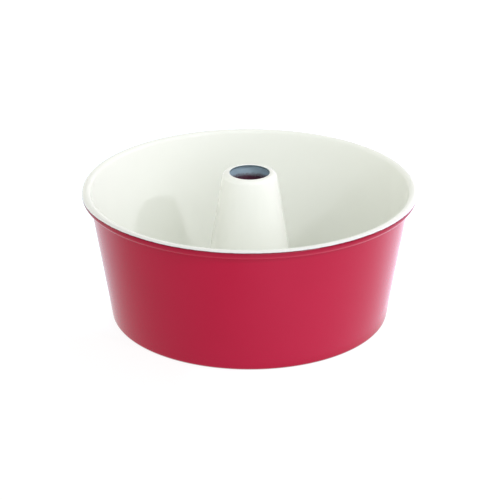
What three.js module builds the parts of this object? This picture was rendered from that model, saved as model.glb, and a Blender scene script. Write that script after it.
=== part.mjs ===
// Tube cake pan in two loose halves: a tapered ring whose rim is rolled over a steel wire, and a lift-out
// base with a hollow centre tube, which rests on a ledge turned in at the foot of the ring.
// Units are millimetres. +Z is up, and the origin is on the axis, on the plane that the pan stands on.

import * as THREE from "three";

// ---- Driving dimensions ----

const SEGMENTS = 64; // flats round each turned piece
const ARC_STEP = THREE.MathUtils.degToRad(22.5); // the turn between two points of a bend
const ROUNDING = 1e-6; // an angle this near a whole number of steps counts as one

const SHEET = 1.4; // thickness of the formed aluminium sheet
const GAP = 0.3; // kept between two pieces that lie on each other
const BEND = 1.3; // radius of a tight bend, at the middle of the sheet

const RIM_RADIUS = 133.5; // outermost point of the rolled rim
const RIM_HEIGHT = 108.7; // top of the rolled rim
const WALL_TAPER = THREE.MathUtils.degToRad(9); // lean of the wall from upright
const WIRE_RADIUS = 1.8;
const WIRE_SIDES = 12;
const FOOT_BEND = 2.3; // bend between the wall and the ledge, at the middle of the sheet
const LEDGE_RADIUS = 103; // free edge of the ledge that carries the base

const TUBE_HEIGHT = 120; // top of the centre tube, which stands above the rim
const TUBE_TAPER = THREE.MathUtils.degToRad(9.2); // lean of the tube from upright
const TUBE_TOP_RADIUS = 21.3; // outer face of the cone, carried on up to TUBE_HEIGHT
const TUBE_MOUTH_RADIUS = 15.8; // free edge of the sheet round the hole in the top
const TUBE_SHOULDER = 3.3; // bend between the cone and the flat top, at the middle of the sheet
const NECK_RADIUS = 34; // neck of the tube in the plate's hole, at the middle of the sheet
const FLANGE_RADIUS = 41.5; // free edge of the flange turned out under the plate

const PLATE_RADIUS = 109; // free edge of the base plate
const PLATE_LIFT = 0.3; // the underside of the base hangs this far above the table
const RIM_STEP = 102.2; // where the plate starts to step down inside the ledge
const SEAM_STEP = 44.5; // where the plate starts to step up over the tube's flange
const STEP_RUN = 1.5; // how far inwards each step runs

// ---- Heights of the middle of the sheet ----

const HALF = SHEET / 2;
const LEDGE_Z = HALF;
const PLATE_BAND_Z = SHEET + GAP + HALF; // the band that lies on the ledge
const PLATE_FLOOR_Z = PLATE_LIFT + HALF;
const FLANGE_Z = PLATE_FLOOR_Z;
const PLATE_SEAM_Z = FLANGE_Z + SHEET + GAP; // the raised ring round the tube
const SHOULDER_Z = PLATE_SEAM_Z + SHEET + GAP; // the tube's foot, which lies on that ring

const QUARTER = Math.PI / 2;

// ---- Tools ----

// A pen for the middle line of a bent sheet, in (radius, height).
class MiddleLine {
  constructor(radius, height) {
    this.points = [new THREE.Vector2(radius, height)];
  }

  lineTo(radius, height) {
    this.points.push(new THREE.Vector2(radius, height));
    return this;
  }

  // Goes on round a centre from one angle to another, with a point at each whole multiple of ARC_STEP on the
  // way, so that the bend reaches its outermost point. Angles count from outwards, and upwards is positive.
  bend(centre, bendRadius, from, to) {
    const way = Math.sign(to - from);
    const angles = [from];
    const firstStep = Math.floor((way * from) / ARC_STEP + ROUNDING) + 1;
    const lastStep = Math.ceil((way * to) / ARC_STEP - ROUNDING) - 1;
    for (let k = firstStep; k <= lastStep; k++) {
      angles.push(way * k * ARC_STEP);
    }
    for (const angle of [...angles, to]) {
      this.lineTo(
        centre.x + bendRadius * Math.cos(angle),
        centre.y + bendRadius * Math.sin(angle),
      );
    }
    return this;
  }
}

// The unit vector a quarter turn anticlockwise from the one that goes from a to b.
function leftOf(a, b) {
  return new THREE.Vector2(a.y - b.y, b.x - a.x).normalize();
}

// The closed outline of a sheet of even thickness along its middle line.
function sheetOutline(middle) {
  const left = [];
  const right = [];
  middle.forEach((point, i) => {
    const before = leftOf(middle[Math.max(i - 1, 0)], middle[Math.max(i, 1)]);
    const last = middle.length - 1;
    const after = leftOf(middle[Math.min(i, last - 1)], middle[Math.min(i + 1, last)]);
    const mitre = before.clone().add(after).normalize();
    mitre.multiplyScalar(HALF / mitre.dot(before));
    left.push(point.clone().add(mitre));
    right.push(point.clone().sub(mitre));
  });
  return [...left, ...right.reverse()];
}

// A closed outline in (radius, height), turned about the Z axis.
function turned(outline) {
  const points = THREE.ShapeUtils.isClockWise(outline) ? [...outline].reverse() : outline;
  const lathe = new THREE.LatheGeometry([...points, points[0]], SEGMENTS);
  return lathe.rotateX(QUARTER);
}

function piece(name, geometry, finish) {
  const mesh = new THREE.Mesh(geometry, new THREE.MeshStandardMaterial(finish));
  mesh.name = name;
  return mesh;
}

// ---- Finishes ----

const CRIMSON = { color: 0xb92c49, roughness: 0.3, metalness: 0 };
const CREAM = { color: 0xece9dc, roughness: 0.25, metalness: 0 };
const STEEL = { color: 0x9a9da1, roughness: 0.4, metalness: 1 };

// ---- The ring ----

const BEAD_RADIUS = WIRE_RADIUS + GAP + SHEET;
const CURL_RADIUS = BEAD_RADIUS - HALF;
const CURL_CENTRE = new THREE.Vector2(RIM_RADIUS - BEAD_RADIUS, RIM_HEIGHT - BEAD_RADIUS);

// Wall, ledge and rolled rim are one sheet: from the ledge's free edge, round the foot, up the wall and
// round the wire, until the edge nearly meets the wall again.
function panRing() {
  const foot = { x: 0, y: LEDGE_Z + FOOT_BEND };
  const curlStart = Math.PI - WALL_TAPER;
  const wallTop = CURL_CENTRE.y + CURL_RADIUS * Math.sin(curlStart);
  const wallFoot = foot.y - FOOT_BEND * Math.sin(WALL_TAPER);
  const wallFootRadius =
    CURL_CENTRE.x +
    CURL_RADIUS * Math.cos(curlStart) -
    (wallTop - wallFoot) * Math.tan(WALL_TAPER);
  foot.x = wallFootRadius - FOOT_BEND * Math.cos(WALL_TAPER);

  const openAngle = Math.acos((CURL_RADIUS - SHEET - GAP) / CURL_RADIUS);
  const curlEnd = curlStart - (2 * Math.PI - openAngle);
  const middle = new MiddleLine(LEDGE_RADIUS, LEDGE_Z)
    .bend(foot, FOOT_BEND, -QUARTER, -WALL_TAPER)
    .bend(CURL_CENTRE, CURL_RADIUS, curlStart, curlEnd).points;
  return piece("pan_ring", turned(sheetOutline(middle)), CRIMSON);
}

// The steel wire that the rim is rolled over.
function rimWire() {
  const ring = new THREE.TorusGeometry(CURL_CENTRE.x, WIRE_RADIUS, WIRE_SIDES, SEGMENTS);
  ring.translate(0, 0, CURL_CENTRE.y);
  return piece("rim_wire", ring, STEEL);
}

// ---- The lift-out base ----

// A disc with a shallow step down inside the ledge, and a step up to make room for the tube's flange.
function basePlate() {
  const middle = new MiddleLine(PLATE_RADIUS, PLATE_BAND_Z)
    .lineTo(RIM_STEP, PLATE_BAND_Z)
    .lineTo(RIM_STEP - STEP_RUN, PLATE_FLOOR_Z)
    .lineTo(SEAM_STEP, PLATE_FLOOR_Z)
    .lineTo(SEAM_STEP - STEP_RUN, PLATE_SEAM_Z)
    .lineTo(NECK_RADIUS + BEND, PLATE_SEAM_Z).points;
  return piece("base_plate", turned(sheetOutline(middle)), CREAM);
}

// A hollow cone, pierced at the top. At the foot it steps in to stand on the plate, passes through the
// plate's hole, and is turned out underneath, which locks the two together.
function centreTube() {
  const shoulder = {
    x:
      TUBE_TOP_RADIUS -
      (HALF + TUBE_SHOULDER) * Math.cos(TUBE_TAPER) +
      (HALF + TUBE_SHOULDER) * (1 - Math.sin(TUBE_TAPER)) * Math.tan(TUBE_TAPER),
    y: TUBE_HEIGHT - HALF - TUBE_SHOULDER,
  };
  const heelZ = SHOULDER_Z + BEND;
  const coneRun = shoulder.y - heelZ + (TUBE_SHOULDER - BEND) * Math.sin(TUBE_TAPER);
  const heel = {
    x:
      shoulder.x +
      (TUBE_SHOULDER - BEND) * Math.cos(TUBE_TAPER) +
      coneRun * Math.tan(TUBE_TAPER),
    y: heelZ,
  };
  const neckTop = { x: NECK_RADIUS + BEND, y: SHOULDER_Z - BEND };
  const neckFoot = { x: NECK_RADIUS + BEND, y: FLANGE_Z + BEND };
  const middle = new MiddleLine(TUBE_MOUTH_RADIUS, TUBE_HEIGHT - HALF)
    .bend(shoulder, TUBE_SHOULDER, QUARTER, TUBE_TAPER)
    .bend(heel, BEND, TUBE_TAPER, -QUARTER)
    .bend(neckTop, BEND, QUARTER, 2 * QUARTER)
    .bend(neckFoot, BEND, 2 * QUARTER, 3 * QUARTER)
    .lineTo(FLANGE_RADIUS, FLANGE_Z).points;
  return piece("centre_tube", turned(sheetOutline(middle)), CREAM);
}

// ---- The pan ----

const ring = new THREE.Group();
ring.add(panRing(), rimWire());

const liftOutBase = new THREE.Group();
liftOutBase.add(basePlate(), centreTube());

const pan = new THREE.Group();
pan.add(ring, liftOutBase);

export default pan;
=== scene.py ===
"""Looks of a tube cake pan: a ring with a rolled rim, and a lift-out base with a hollow centre tube.

Lengths are in metres. +Z is up, and the origin is on the pan's axis, on the table. The front is towards -Y.
Profiles are lists of (distance from the axis, height), turned about the Z axis.
"""

import math
from itertools import accumulate

import bpy
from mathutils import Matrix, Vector


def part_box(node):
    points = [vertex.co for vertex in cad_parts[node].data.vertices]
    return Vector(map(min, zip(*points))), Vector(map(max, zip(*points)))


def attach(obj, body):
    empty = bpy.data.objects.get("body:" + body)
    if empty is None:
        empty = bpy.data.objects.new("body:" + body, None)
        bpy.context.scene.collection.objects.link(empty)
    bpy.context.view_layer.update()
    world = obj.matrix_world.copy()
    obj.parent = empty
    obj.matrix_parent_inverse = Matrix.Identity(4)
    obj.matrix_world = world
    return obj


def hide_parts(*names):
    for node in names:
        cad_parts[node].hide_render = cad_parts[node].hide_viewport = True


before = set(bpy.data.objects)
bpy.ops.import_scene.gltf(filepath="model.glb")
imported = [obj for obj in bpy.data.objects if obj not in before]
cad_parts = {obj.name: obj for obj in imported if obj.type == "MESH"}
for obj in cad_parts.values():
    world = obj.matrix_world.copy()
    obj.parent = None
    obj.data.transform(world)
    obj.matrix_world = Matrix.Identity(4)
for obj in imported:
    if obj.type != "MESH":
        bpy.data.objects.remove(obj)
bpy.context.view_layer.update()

MM = 0.001

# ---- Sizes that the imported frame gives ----

ring_low, ring_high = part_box("pan_ring")
wire_low, wire_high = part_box("rim_wire")
plate_low, plate_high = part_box("base_plate")
tube_low, tube_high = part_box("centre_tube")

RIM_RADIUS = ring_high.x
WIRE_RADIUS = (wire_high.z - wire_low.z) / 2
BEAD_CENTRE = Vector((wire_high.x - WIRE_RADIUS, (wire_high.z + wire_low.z) / 2))
BEAD_RADIUS = min(RIM_RADIUS - BEAD_CENTRE.x, ring_high.z - BEAD_CENTRE.y)
PLATE_RADIUS = plate_high.x
FLANGE_RADIUS = tube_high.x
TUBE_HEIGHT = tube_high.z
BASE_Z = plate_low.z  # underside of the plate's floor and of the tube's flange

# ---- Sizes that the frame doesn't give ----

SHEET = 1.36 * MM
HALF = SHEET / 2
GAP = 0.3 * MM  # between two pieces that lie on each other
EDGE_ROUND = 0.4 * MM  # how far a free edge is rounded off
EDGE_POINTS = 7  # points round a free edge; the coats reach over the first and the last

# Radii of the bends, at the middle of the sheet
BEND = 1.3 * MM  # a tight one, at the tube's foot
FOOT_BEND = 2.3 * MM  # between the wall and the ledge
TUBE_SHOULDER = 3.3 * MM  # between the cone and the tube's flat top
STEP_BEND = 1.2 * MM  # at the plate's two steps

WALL_TAPER = 9  # degrees from upright
LEDGE_RADIUS = 103 * MM  # inner edge of the ledge
TUBE_TAPER = 9.2  # degrees from upright
TUBE_TOP_RADIUS = 21.3 * MM  # outer face of the cone, carried on up to TUBE_HEIGHT
TUBE_MOUTH_RADIUS = 15.8 * MM
NECK_RADIUS = 34 * MM  # where the tube's sheet goes down through the plate
RIM_STEP = 102.2 * MM  # where the plate begins to step down from the band that lies on the ledge
SEAM_STEP = 44.5 * MM  # where the plate begins to step up to the tube
STEP_RUN = 1.5 * MM  # how far inwards each step goes

# Heights of the middle of the sheet
LEDGE_Z = HALF
PLATE_BAND_Z = plate_high.z - GAP - HALF  # where the plate lies on the ledge
PLATE_FLOOR_Z = BASE_Z + HALF
PLATE_SEAM_Z = plate_high.z - HALF  # where the tube is clinched round the plate
SHOULDER_Z = plate_high.z + GAP + HALF  # the tube's foot, on top of the plate

TURN_STEPS = 288  # points round each turned piece
ARC_STEP = 7  # degrees between two points of a bend
STRAIGHT_STEP = 4 * MM  # longest stretch between two points of a profile
WIRE_SIDES = 24
WIRE_BUTT = 0.25  # degrees from the back to each end of the wire

# ---- Coats and metals ----

CRIMSON = (0.370, 0.0002, 0.030, 1)
CRIMSON_DEEP = (0.340, 0.0002, 0.026, 1)
CREAM = (0.888, 0.907, 0.857, 1)
CREAM_DEEP = (0.868, 0.887, 0.832, 1)
CREAM_THIN = (0.70, 0.70, 0.69, 1)
# Painted shade: a dark maroon that stands for the shadow inside the tube. It also colours the tube's neck and
# flange
TUBE_INSIDE_SHADE = (0.17, 0.06, 0.10, 1)
# A dark crimson for the line where the outer coat stops, and for the painted shade in the band along it
EDGE_LINE_AND_SHADE_DARK = (0.16, 0.004, 0.016, 1)
ALUMINIUM = (0.62, 0.66, 0.72, 1)
# Dull bare metal at the top of the tube's inside. Its blue tint is a painted reflection of bluish light
DULL_METAL_BLUE_REFLECTION = (0.66, 0.86, 0.98, 1)
# Painted shade: bare cut metal at the sheet's cut edges, darkened as if it lay in shadow
CUT_EDGE_SHADE = (0.14, 0.19, 0.21, 1)
STEEL = (0.56, 0.57, 0.58, 1)
STEEL_DULL = (0.42, 0.42, 0.43, 1)

COAT_IOR = 1.3
COAT_ROUGHNESS = (0.16, 0.22)  # smoothest and roughest
DULL_ROUGHNESS = 0.5
DULL_METALLIC = 0.1
STEEL_ROUGHNESS = (0.25, 0.45)
DULL_BLEND = (0.3, 0.7)  # the values of the noise where the wire's roughness begins to rise, and is whole
CUT_BLEND = (0.4, 0.6)  # the values of the attribute cut_edge where the coat begins to give way to the cut edge's painted shade, and ends

GLOSS_SIZE = 12 * MM  # width of the patches that are smoother or rougher
CLOUD_SIZE = 45 * MM  # width of the patches that are lighter or deeper in colour
DULL_SIZE = 6 * MM  # width of the dull patches on the wire
PEEL_SIZE, PEEL_HEIGHT = 1.6 * MM, 0.006 * MM  # the fine ripple of sprayed enamel
WAVE_SIZE, WAVE_HEIGHT = 40 * MM, 0.08 * MM  # the sheet's slight unevenness
FILM = 0.04 * MM  # thickness of a coat

CREAM_END = 39.5  # degrees up the outside of the bead, where the cream coat stops at the front and the back
CREAM_SIDE = 35  # degrees further down, at the left and the right
CREAM_SIDE_POWER = 8  # the higher it is, the nearer to the two sides the cream coat starts to reach further
TUBE_SHADE_FULL = 107 * MM  # inside the tube, the dark painted shade is whole below this height
TUBE_SHADE_TOP = 112 * MM  # and fades out up to this one
SPECKLE_SIZE, SPECKLE = 0.8 * MM, 2 * MM  # the size of its last specks, and how far up and down they reach

# The distances from the line where the coats meet are in millimetres, as the attribute coat_edge is.
WOBBLE_SIZE, WOBBLE = 4 * MM, 0.15  # the length of that line's wobbles, in metres, and how far it strays
EDGE_BLUR = 0.05  # how far the coats run into each other
COAT_LINE = 0.25  # width of the bare line between the coats
DARK_LINE = 0.9  # width of the dark edge of the crimson coat
BEAD_SHADE_WIDTH = 6  # width of the band by that edge that is darkened with painted shade, meant for the bead's outer face
BEAD_SHADE_SHARE = 0.4  # how dark that painted shade is at the edge
THIN_EDGE = 4  # width of the band where the ring's cream coat thins out

# ---- Stage ----

FLOOR_SIZE = 80  # so wide that its far edge is close to the horizon
FLOOR_GREY = 0.15  # how much light the floor scatters
FLOOR_ROUGHNESS = 0.9
FLOOR_LIGHT = 0.89  # it shines by itself, so that it is white and takes little colour from the pan
CONTACT_LIGHT = 0.15  # and shines less where the pan's foot would shade it
CONTACT = (108.5 * MM, 110.6 * MM)  # the distances from the axis where that shade begins to fade, and ends
RIGHT_GLOW = (0.54, 0.46, 0.66)  # light added on the right, which the wall mirrors
RIGHT_FROM, RIGHT_TO = -60 * MM, 70 * MM
BACK_GLOW = (0.13, 0.24, 0.32)  # light added behind the pan
BACK_FROM, BACK_TO = -60 * MM, 50 * MM
GLOW = (108 * MM, 122 * MM)  # the distances from the axis where the added light begins and is whole

SKY_LOW, SKY_HIGH = 1.0, 0.57  # light from the sky, by the horizon and higher up
HORIZON = (0.15, 0.4)  # sines of the heights in the sky where the brighter band begins to fade, and ends
LIGHT_TARGET = Vector((0, 0, 60 * MM))

CAMERA_AIM = Vector((0.3 * MM, 0, 52.6 * MM))
CAMERA_DISTANCE = 1.6916
CAMERA_ELEVATION = 23.48  # degrees
CAMERA_LENS = 150.9  # millimetres
CAMERA_SENSOR = 36  # millimetres
CAMERA_CLIP = (0.01, 100)


# ---- Profiles ----

def polar(angle):
    """The unit vector at an angle in degrees. Angles count from outwards, and up is positive."""
    return Vector((math.cos(math.radians(angle)), math.sin(math.radians(angle))))


def arc(centre, radius, start, end):
    """Points from one angle to another, in degrees."""
    steps = math.ceil(abs(end - start) / ARC_STEP)
    return [centre + radius * polar(start + (end - start) * i / steps) for i in range(steps + 1)]


def rounded(corners, radius):
    """An open line through the corners, with each inner corner bent to the radius."""
    line = [corners[0]]
    for before, corner, after in zip(corners, corners[1:], corners[2:]):
        back = (before - corner).normalized()
        on = (after - corner).normalized()
        half_angle = back.angle(on) / 2
        centre = corner + (back + on).normalized() * (radius / math.sin(half_angle))
        reach = radius / math.tan(half_angle)
        start = corner + back * reach - centre
        turn = math.degrees(start.angle_signed(corner + on * reach - centre))
        first = math.degrees(math.atan2(start.y, start.x))
        line += arc(centre, radius, first, first - turn)
    return line + [corners[-1]]


def filled_in(line):
    """The same line with a point at least every STRAIGHT_STEP."""
    points = [line[0]]
    for a, b in zip(line, line[1:]):
        steps = max(1, math.ceil((b - a).length / STRAIGHT_STEP))
        points += [a.lerp(b, i / steps) for i in range(1, steps + 1)]
    return points


def across(line, i):
    """The unit vector to the left of the line's direction at point i."""
    ahead = line[min(i + 1, len(line) - 1)] - line[max(i - 1, 0)]
    return Vector((-ahead.y, ahead.x)).normalized()


def free_edge(line, i, outward):
    """The round of a free edge, from the left face to the right face of the sheet when outward is 1."""
    side = across(line, i)
    ahead = Vector((side.y, -side.x)) * outward
    points = []
    for k in range(EDGE_POINTS):
        angle = math.pi * (k + 1) / (EDGE_POINTS + 1)
        from_side = side * (HALF * outward * math.cos(angle))
        points.append(line[i] + from_side + ahead * (EDGE_ROUND * math.sin(angle)))
    return points


def sheet_outline(middle):
    """The closed outline of a sheet, from the line along its middle: its left face, the far edge, its right
    face back and the near edge. The last value says, for each point, whether it is on a cut edge."""
    line = filled_in(middle)
    left = [p + across(line, i) * HALF for i, p in enumerate(line)]
    right = [p - across(line, i) * HALF for i, p in enumerate(line)]
    far = free_edge(line, len(line) - 1, 1)
    near = free_edge(line, 0, -1)
    bare = [0] + [1] * (EDGE_POINTS - 2) + [0]
    cut = [0] * len(left) + bare + [0] * len(right) + bare
    return left, far, right[::-1], near, cut


def nearest(points, target):
    """The index of the point that is nearest to the target."""
    return min(range(len(points)), key=lambda i: (points[i] - target).length)


# ---- Meshes ----

def new_object(name, mesh, material):
    mesh.materials.append(material)
    piece = bpy.data.objects.new(name, mesh)
    bpy.context.scene.collection.objects.link(piece)
    return piece


def new_mesh(name, vertices, faces):
    mesh = bpy.data.meshes.new(name)
    mesh.from_pydata(vertices, [], faces)
    return mesh


def turned(name, outline, coat_edge, cut_edge, material):
    """Turns a closed outline about the Z axis. coat_edge says, for each point of the whole piece, how far it
    lies inside the cream coat, in millimetres, and is negative on the other coat. cut_edge says, for each
    point of the outline, whether it is on a cut edge of the sheet."""
    count = len(outline)
    vertices = []
    faces = []
    for j in range(TURN_STEPS):
        angle = 2 * math.pi * j / TURN_STEPS
        vertices += [(p.x * math.cos(angle), p.x * math.sin(angle), p.y) for p in outline]
        here, there = j * count, (j + 1) % TURN_STEPS * count
        for i in range(count):
            k = (i + 1) % count
            faces.append((here + i, here + k, there + k, there + i))
    mesh = new_mesh(name, vertices, faces)
    mesh.shade_smooth()
    for key, values in (("coat_edge", coat_edge), ("cut_edge", cut_edge * TURN_STEPS)):
        attribute = mesh.attributes.new(key, "FLOAT", "POINT")
        attribute.data.foreach_set("value", values)
    return new_object(name, mesh, material)


def coat_edges(outline, first, last, further=0):
    """How far each point lies inside the stretch from one index to another, in millimetres along the outline.
    The stretch goes on for a further length past the last point."""
    count = len(outline)
    lengths = [(outline[(i + 1) % count] - outline[i]).length / MM for i in range(count)]
    run = [0] + list(accumulate(lengths))
    total = run[count]
    width = (run[last] - run[first]) % total + further / MM
    edges = []
    for i in range(count):
        inside = (run[i] - run[first]) % total
        if inside <= width:
            edges.append(min(inside, width - inside))
        else:
            edges.append(-min(inside - width, total - inside))
    return edges


# ---- Shader nodes ----

def add_node(tree, kind, inputs, **settings):
    """A shader node with its inputs set, or joined where the value is another node's output."""
    node = tree.nodes.new("ShaderNode" + kind)
    for key, value in settings.items():
        setattr(node, key, value)
    for key, value in inputs.items():
        if isinstance(value, bpy.types.NodeSocket):
            tree.links.new(value, node.inputs[key])
        else:
            node.inputs[key].default_value = value
    return node


def math_node(tree, operation, a, b=0.0):
    return add_node(tree, "Math", {0: a, 1: b}, operation=operation).outputs[0]


def noise(tree, place, size, detail=2.0):
    """Smooth noise from 0 to 1 whose lumps are about as wide as size."""
    inputs = {"Vector": place, "Scale": 1 / size, "Detail": detail, "Roughness": 0.5}
    return add_node(tree, "TexNoise", inputs).outputs["Fac"]


def ramp(tree, value, low, high, to_low=0.0, to_high=1.0):
    """A soft step from to_low to to_high as the value goes from low to high."""
    inputs = {"Value": value, "From Min": low, "From Max": high, "To Min": to_low, "To Max": to_high}
    return add_node(tree, "MapRange", inputs, interpolation_type="SMOOTHSTEP").outputs["Result"]


def mixed(tree, share, a, b):
    """Colour a where share is 0, and colour b where it is 1."""
    return add_node(tree, "Mix", {0: share, 6: a, 7: b}, data_type="RGBA").outputs[2]


def mixed_value(tree, share, a, b):
    return add_node(tree, "Mix", {0: share, 2: a, 3: b}, data_type="FLOAT").outputs[0]


def scaled(tree, colour, share):
    return add_node(tree, "VectorMath", {0: colour, "Scale": share}, operation="SCALE").outputs["Vector"]


def added(tree, a, b):
    return add_node(tree, "VectorMath", {0: a, 1: b}, operation="ADD").outputs["Vector"]


def attribute_value(tree, name):
    return add_node(tree, "Attribute", {}, attribute_name=name).outputs["Fac"]


def new_material(name):
    """A material, its node tree, its shader, and the place on the object that is shaded."""
    material = bpy.data.materials.new(name)
    material.use_nodes = True
    tree = material.node_tree
    shader = tree.nodes["Principled BSDF"]
    place = add_node(tree, "TexCoord", {}).outputs["Object"]
    return material, tree, shader, place


# ---- Materials ----

def outer_coat(tree, clouds, distance, colours):
    """The outer coat, which is darkest in a line where it stops, with painted shade in a band along that
    line.
    """
    coat = mixed(tree, clouds, *colours)
    # Painted shade in a band along the coat's edge, which darkens the bead's outer face
    coat = mixed(tree, ramp(tree, distance, 0, BEAD_SHADE_WIDTH, BEAD_SHADE_SHARE, 0), coat, EDGE_LINE_AND_SHADE_DARK)
    return mixed(tree, ramp(tree, distance, DARK_LINE / 2, DARK_LINE, 1, 0), coat, EDGE_LINE_AND_SHADE_DARK)


def cream_coat(tree, clouds, edge, thin_edge):
    coat = mixed(tree, clouds, CREAM, CREAM_DEEP)
    if thin_edge:
        coat = mixed(tree, ramp(tree, edge, 0, thin_edge, 1, 0), coat, CREAM_THIN)
    return coat


def above_tube_shade(tree, place, bottom, top):
    """0 below the lower height and 1 above the upper one, with specks between them."""
    height = add_node(tree, "SeparateXYZ", {0: place}).outputs["Z"]
    speckle = ramp(tree, noise(tree, place, SPECKLE_SIZE, detail=4.0), 0, 1, -SPECKLE, SPECKLE)
    return ramp(tree, math_node(tree, "ADD", height, speckle), bottom, top)


def relief(tree, place, bare):
    """The normal of a surface with a fine ripple and long waves, and lower where it has no coat."""
    peel = math_node(tree, "MULTIPLY", noise(tree, place, PEEL_SIZE), PEEL_HEIGHT)
    waves = math_node(tree, "MULTIPLY", noise(tree, place, WAVE_SIZE, detail=0.0), WAVE_HEIGHT)
    film = math_node(tree, "MULTIPLY", bare, -FILM)
    height = math_node(tree, "ADD", math_node(tree, "ADD", peel, waves), film)
    return add_node(tree, "Bump", {"Height": height, "Strength": 1.0, "Distance": 1.0}).outputs["Normal"]


def coated_sheet(name, shade_heights=None, thin_edge=0, outer=(CRIMSON, CRIMSON_DEEP)):
    """Aluminium sheet, cream on one side and the outer colours on the other, with a bare line where the coats
    meet. Between the two given heights the outer colours fade out, with specks, to dull bare metal. On the
    tube the outer colours are painted shade."""
    material, tree, shader, place = new_material(name)
    wobble = ramp(tree, noise(tree, place, WOBBLE_SIZE), 0, 1, -WOBBLE, WOBBLE)
    edge = math_node(tree, "ADD", attribute_value(tree, "coat_edge"), wobble)
    distance = math_node(tree, "ABSOLUTE", edge)
    cream = ramp(tree, edge, -EDGE_BLUR, EDGE_BLUR)
    bare = ramp(tree, distance, COAT_LINE / 4, COAT_LINE / 2, 1, 0)

    metal = ALUMINIUM
    metallic = bare
    roughness = ramp(tree, noise(tree, place, GLOSS_SIZE), 0, 1, *COAT_ROUGHNESS)
    # On the tube, this fades the painted shade inside it out to dull bare metal above the given heights
    if shade_heights:
        outside_cream = math_node(tree, "SUBTRACT", 1.0, cream)
        dull = math_node(tree, "MULTIPLY", above_tube_shade(tree, place, *shade_heights), outside_cream)
        metal = mixed(tree, dull, ALUMINIUM, DULL_METAL_BLUE_REFLECTION)
        bare = math_node(tree, "MAXIMUM", bare, dull)
        metallic = mixed_value(tree, dull, bare, DULL_METALLIC)
        roughness = mixed_value(tree, dull, roughness, DULL_ROUGHNESS)

    clouds = noise(tree, place, CLOUD_SIZE)
    below = outer_coat(tree, clouds, distance, outer)
    coat = mixed(tree, cream, below, cream_coat(tree, clouds, edge, thin_edge))
    cut = ramp(tree, attribute_value(tree, "cut_edge"), *CUT_BLEND)
    # Cut edges take bare metal darkened with painted shade
    colour = mixed(tree, cut, mixed(tree, bare, coat, metal), CUT_EDGE_SHADE)

    tree.links.new(colour, shader.inputs["Base Color"])
    tree.links.new(metallic, shader.inputs["Metallic"])
    tree.links.new(roughness, shader.inputs["Roughness"])
    tree.links.new(relief(tree, place, bare), shader.inputs["Normal"])
    shader.inputs["IOR"].default_value = COAT_IOR
    return material


def wire_steel():
    """Bright drawn steel wire, with a few dull patches."""
    material, tree, shader, place = new_material("wire_steel")
    dull = noise(tree, place, DULL_SIZE, detail=3.0)
    tree.links.new(mixed(tree, dull, STEEL, STEEL_DULL), shader.inputs["Base Color"])
    tree.links.new(ramp(tree, dull, *DULL_BLEND, *STEEL_ROUGHNESS), shader.inputs["Roughness"])
    shader.inputs["Metallic"].default_value = 1.0
    return material


# ---- The ring ----

def pan_ring(material):
    """One sheet: the ledge, the foot, the wall and the bead rolled over the wire."""
    curl = BEAD_RADIUS - HALF
    start = 180 - WALL_TAPER
    taper = math.radians(WALL_TAPER)
    wall_top = BEAD_CENTRE + curl * Vector((-math.cos(taper), math.sin(taper)))
    foot_z = LEDGE_Z + FOOT_BEND
    wall_foot_z = foot_z - FOOT_BEND * math.sin(taper)
    wall_foot = wall_top.x - (wall_top.y - wall_foot_z) * math.tan(taper)
    foot = Vector((wall_foot - FOOT_BEND * math.cos(taper), foot_z))
    mouth = math.degrees(math.acos((curl - SHEET - GAP) / curl))

    middle = [Vector((LEDGE_RADIUS + EDGE_ROUND, LEDGE_Z))]
    middle += arc(foot, FOOT_BEND, -90, -WALL_TAPER)
    middle += arc(BEAD_CENTRE, curl, start, start - 360 + mouth)
    left, far, right, near, cut = sheet_outline(middle)
    outline = left + far + right + near
    cream_from = len(outline) - len(near) // 2 - 1
    cream_to = nearest(left, BEAD_CENTRE + BEAD_RADIUS * polar(CREAM_END))
    edges = []
    for j in range(TURN_STEPS):
        sideways = math.cos(2 * math.pi * j / TURN_STEPS) ** CREAM_SIDE_POWER
        further = BEAD_RADIUS * math.radians(CREAM_SIDE) * sideways
        edges += coat_edges(outline, cream_from, cream_to, further)
    return turned("coated_ring", outline, edges, cut, material)


def rim_wire(material):
    """The wire in the bead. Its two ends butt together with a small gap at the back."""
    butt = math.radians(WIRE_BUTT)
    vertices = []
    for j in range(TURN_STEPS + 1):
        angle = math.pi / 2 + butt + (2 * math.pi - 2 * butt) * j / TURN_STEPS
        for i in range(WIRE_SIDES):
            radius = BEAD_CENTRE.x + WIRE_RADIUS * math.cos(2 * math.pi * i / WIRE_SIDES)
            height = BEAD_CENTRE.y + WIRE_RADIUS * math.sin(2 * math.pi * i / WIRE_SIDES)
            vertices.append((radius * math.cos(angle), radius * math.sin(angle), height))
    faces = []
    for j in range(TURN_STEPS):
        here, there = j * WIRE_SIDES, (j + 1) * WIRE_SIDES
        for i in range(WIRE_SIDES):
            k = (i + 1) % WIRE_SIDES
            faces.append((here + i, here + k, there + k, there + i))
    faces.append(tuple(range(WIRE_SIDES))[::-1])
    faces.append(tuple(range(TURN_STEPS * WIRE_SIDES, (TURN_STEPS + 1) * WIRE_SIDES)))
    mesh = new_mesh("rolled_in_wire", vertices, faces)
    mesh.shade_smooth()
    return new_object("rolled_in_wire", mesh, material)


# ---- The lift-out base ----

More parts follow.
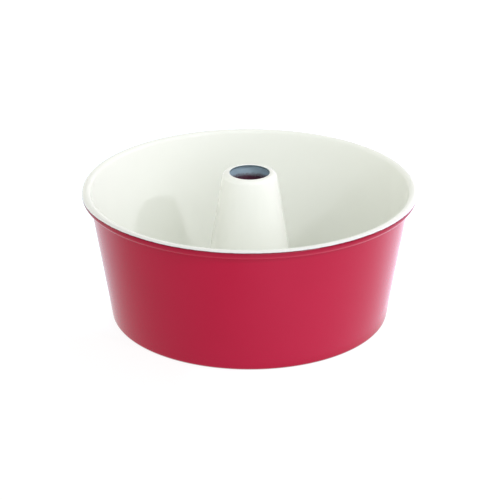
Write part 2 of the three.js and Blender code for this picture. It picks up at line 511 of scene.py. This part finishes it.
def base_plate(material):
    """A disc with a step down inside the ledge, and a step up to make room for the tube's flange."""
    corners = [
        (PLATE_RADIUS - EDGE_ROUND, PLATE_BAND_Z),
        (RIM_STEP, PLATE_BAND_Z),
        (RIM_STEP - STEP_RUN, PLATE_FLOOR_Z),
        (SEAM_STEP, PLATE_FLOOR_Z),
        (SEAM_STEP - STEP_RUN, PLATE_SEAM_Z),
        (NECK_RADIUS + BEND + EDGE_ROUND, PLATE_SEAM_Z),
    ]
    middle = rounded([Vector(c) for c in corners], STEP_BEND)
    under, hole, top, rim, cut = sheet_outline(middle)
    outline = under + hole + top + rim
    cream_from = len(under) + len(hole) // 2
    cream_to = len(outline) - len(rim) // 2 - 1
    edges = coat_edges(outline, cream_from, cream_to) * TURN_STEPS
    return turned("coated_plate", outline, edges, cut, material)


def centre_tube(material):
    """A hollow cone, pierced at the top and clinched through the plate at the foot."""
    taper = math.radians(TUBE_TAPER)
    shoulder_face = HALF + TUBE_SHOULDER
    face_there = TUBE_TOP_RADIUS + shoulder_face * (1 - math.sin(taper)) * math.tan(taper)
    shoulder = Vector((face_there - shoulder_face * math.cos(taper), TUBE_HEIGHT - shoulder_face))
    heel_z = SHOULDER_Z + BEND
    cone_run = shoulder.y - heel_z + (TUBE_SHOULDER - BEND) * math.sin(taper)
    heel_x = shoulder.x + (TUBE_SHOULDER - BEND) * math.cos(taper) + cone_run * math.tan(taper)
    heel = Vector((heel_x, heel_z))
    neck_top = Vector((NECK_RADIUS + BEND, SHOULDER_Z - BEND))
    neck_foot = Vector((NECK_RADIUS + BEND, PLATE_FLOOR_Z + BEND))

    middle = [Vector((TUBE_MOUTH_RADIUS + EDGE_ROUND, TUBE_HEIGHT - HALF))]
    middle += arc(shoulder, TUBE_SHOULDER, 90, TUBE_TAPER)
    middle += arc(heel, BEND, TUBE_TAPER, -90)
    middle += arc(neck_top, BEND, 90, 180)
    middle += arc(neck_foot, BEND, 180, 270)
    middle += [Vector((FLANGE_RADIUS - EDGE_ROUND, PLATE_FLOOR_Z))]
    outside, flange, inside, mouth, cut = sheet_outline(middle)
    outline = outside + flange + inside + mouth
    cream_from = len(outline) - 1
    cream_to = nearest(outside, heel + (BEND + HALF) * polar(-90))
    edges = coat_edges(outline, cream_from, cream_to) * TURN_STEPS
    return turned("coated_tube", outline, edges, cut, material)


# ---- Stage, lights and camera ----

def floor_light(tree, place):
    """The floor's own light: white, less by the pan's foot, and more on the right and behind the pan."""
    axes = add_node(tree, "SeparateXYZ", {0: place}).outputs
    from_axis = add_node(tree, "VectorMath", {0: place}, operation="LENGTH").outputs["Value"]
    own = ramp(tree, from_axis, *CONTACT, CONTACT_LIGHT, FLOOR_LIGHT)
    glow = ramp(tree, from_axis, *GLOW)
    right = math_node(tree, "MULTIPLY", glow, ramp(tree, axes["X"], RIGHT_FROM, RIGHT_TO))
    back = math_node(tree, "MULTIPLY", glow, ramp(tree, axes["Y"], BACK_FROM, BACK_TO))
    sides = added(tree, scaled(tree, RIGHT_GLOW, right), scaled(tree, BACK_GLOW, back))
    return added(tree, scaled(tree, (1, 1, 1), own), sides)


def floor():
    material, tree, shader, place = new_material("pale_floor")
    tree.links.new(floor_light(tree, place), shader.inputs["Emission Color"])
    shader.inputs["Emission Strength"].default_value = 1.0
    shader.inputs["Base Color"].default_value = (FLOOR_GREY, FLOOR_GREY, FLOOR_GREY, 1)
    shader.inputs["Roughness"].default_value = FLOOR_ROUGHNESS
    shader.inputs["Specular IOR Level"].default_value = 0.0
    reach = FLOOR_SIZE / 2
    corners = [(-reach, -reach, 0), (reach, -reach, 0), (reach, reach, 0), (-reach, reach, 0)]
    new_object("floor", new_mesh("floor", corners, [(0, 1, 2, 3)]), material)


def sky():
    """Soft white light from all round, brighter by the horizon, where a low view sees it over the floor."""
    world = bpy.data.worlds.new("studio")
    world.use_nodes = True
    tree = world.node_tree
    towards = add_node(tree, "TexCoord", {}).outputs["Generated"]
    height = add_node(tree, "SeparateXYZ", {0: towards}).outputs["Z"]
    background = tree.nodes["Background"]
    background.inputs["Color"].default_value = (1, 1, 1, 1)
    tree.links.new(ramp(tree, height, *HORIZON, SKY_LOW, SKY_HIGH), background.inputs["Strength"])
    bpy.context.scene.world = world


def put_on_stand(name, data, target, towards, distance):
    """Sets up a light or camera at a distance from the target, facing it."""
    stand = bpy.data.objects.new(name, data)
    bpy.context.scene.collection.objects.link(stand)
    stand.location = target + towards * distance
    stand.rotation_euler = towards.to_track_quat("Z", "Y").to_euler()
    return stand


def direction(azimuth, elevation):
    """Azimuth 0 is towards the camera's side, and 90 is to its right. Both are in degrees."""
    a, e = math.radians(azimuth), math.radians(elevation)
    return Vector((math.sin(a) * math.cos(e), -math.cos(a) * math.cos(e), math.sin(e)))


def light(name, azimuth, elevation, distance, size, power, colour=(1, 1, 1)):
    """A light with a flat, oblong face, turned to the pan. The larger it is, the softer its shadows."""
    lamp = bpy.data.lights.new(name, "AREA")
    lamp.shape = "RECTANGLE"
    lamp.size, lamp.size_y = size
    lamp.energy = power
    lamp.color = colour
    put_on_stand(name, lamp, LIGHT_TARGET, direction(azimuth, elevation), distance)


def lights():
    # The spark is small, so that the tube casts a clear shadow on the wall. The others are soft.
    light("spark", 42.5, 32, 1.6, (0.06, 0.06), 3.4, colour=(1, 0.98, 1.07))
    light("key", 35, 30, 1.6, (0.5, 0.5), 0.6, colour=(1, 1, 1.1))
    light("fill", 16, 26, 1.6, (0.9, 0.9), 4.4, colour=(0.98, 1, 1.04))
    light("side", 100, 30, 1.2, (0.5, 0.8), 2.9)
    light("front", -20, 35, 1.8, (1.0, 0.8), 1.9, colour=(0.98, 1, 0.9))
    light("right_card", 110, 8, 1.0, (0.8, 0.8), 1.7, colour=(1, 0.75, 1.1))
    light("left_card", -110, 8, 1.0, (0.8, 0.8), 1.9, colour=(1, 1, 0.76))
    light("top", 0, 88, 1.4, (0.8, 0.8), 1.25, colour=(1, 1, 0.8))
    light("back", 180, 40, 1.6, (1.0, 0.6), 1.7, colour=(1, 0.93, 0.8))


def camera():
    data = bpy.data.cameras.new("camera")
    data.sensor_width = CAMERA_SENSOR
    data.lens = CAMERA_LENS
    data.clip_start, data.clip_end = CAMERA_CLIP
    stand = put_on_stand("camera", data, CAMERA_AIM, direction(0, CAMERA_ELEVATION), CAMERA_DISTANCE)
    bpy.context.scene.camera = stand


def plain_view():
    view = bpy.context.scene.view_settings
    view.view_transform = "Standard"
    view.look = "None"


camera()
plain_view()
floor()
sky()
lights()

ring = pan_ring(coated_sheet("ring_coats", thin_edge=THIN_EDGE))
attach(ring, "pan")
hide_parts("pan_ring")

wire = rim_wire(wire_steel())
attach(wire, "pan")
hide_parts("rim_wire")

plate = base_plate(coated_sheet("plate_coats"))
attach(plate, "lift_out_base")
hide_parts("base_plate")

# The tube's outer colours are painted shade: dark maroon for the shadow inside the tube
tube = centre_tube(coated_sheet("tube_coats", shade_heights=(TUBE_SHADE_FULL, TUBE_SHADE_TOP), outer=(TUBE_INSIDE_SHADE, TUBE_INSIDE_SHADE)))
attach(tube, "lift_out_base")
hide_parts("centre_tube")
